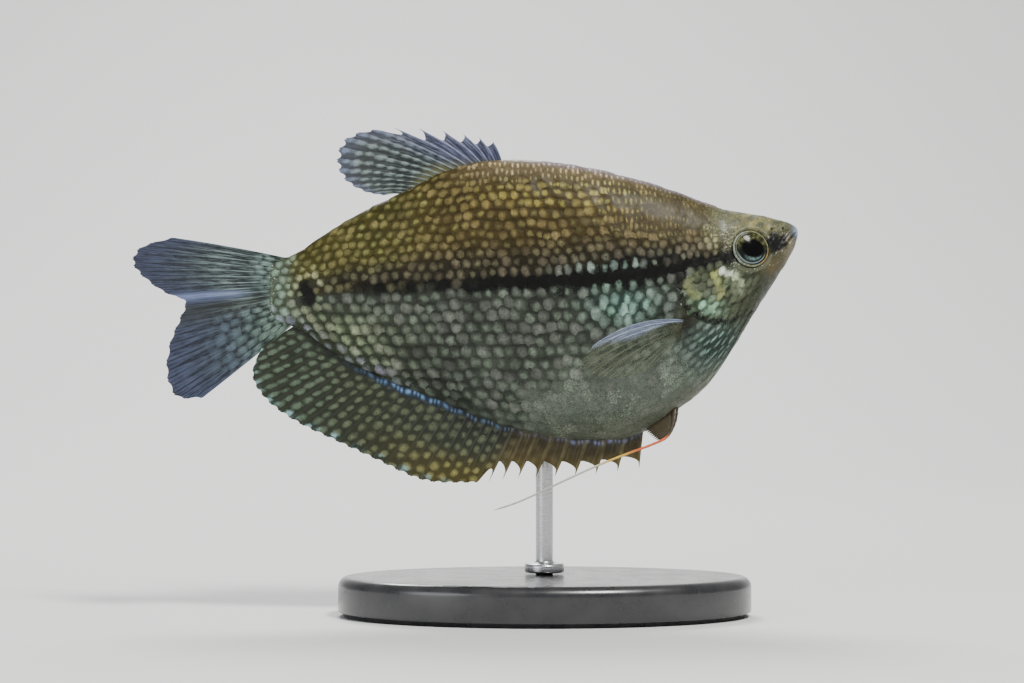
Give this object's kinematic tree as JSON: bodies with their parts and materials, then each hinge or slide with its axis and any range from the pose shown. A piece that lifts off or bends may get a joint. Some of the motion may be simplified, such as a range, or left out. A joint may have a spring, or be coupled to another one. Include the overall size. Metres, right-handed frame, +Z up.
{
  "type": "pearl gourami",
  "caption": "Life-size model of a deep-bodied freshwater fish with a long anal fin, short dorsal fin, forked tail and thread-like feelers, on a rod and oval base.",
  "frame": {"origin": "centre of the underside of the stand's oval base", "axes": "+X towards the fish's snout, +Y towards its left side, +Z up"},
  "size_m": [0.1001, 0.04, 0.0734],
  "materials": {
    "skin": "scaled skin, olive brown above and silver below, satin",
    "gill_silver": "silver-green gill cover, glossy",
    "fin": "blue-grey translucent fin membrane",
    "anal_fin": "olive-yellow fin membrane with pale spots",
    "feeler": "orange feeler, paler to its tip",
    "eye": "wet, dark iris with a pale ring",
    "base": "dark grey, satin",
    "rod": "brushed"
  },
  "bodies": {
    "root": {"head": "skin", "gill_cover_left": "gill_silver", "gill_cover_right": "gill_silver", "trunk": "skin", "tail_stalk": "skin", "eye_left": "eye", "eye_right": "eye", "dorsal_fin": "fin", "anal_fin": "anal_fin", "tail_fin": "fin", "pectoral_fin_left": "fin", "pectoral_fin_right": "fin", "pelvic_feeler_left": "feeler", "pelvic_feeler_right": "feeler", "stand_base": "base", "stand_rod": "rod"}
  },
  "joints": []
}
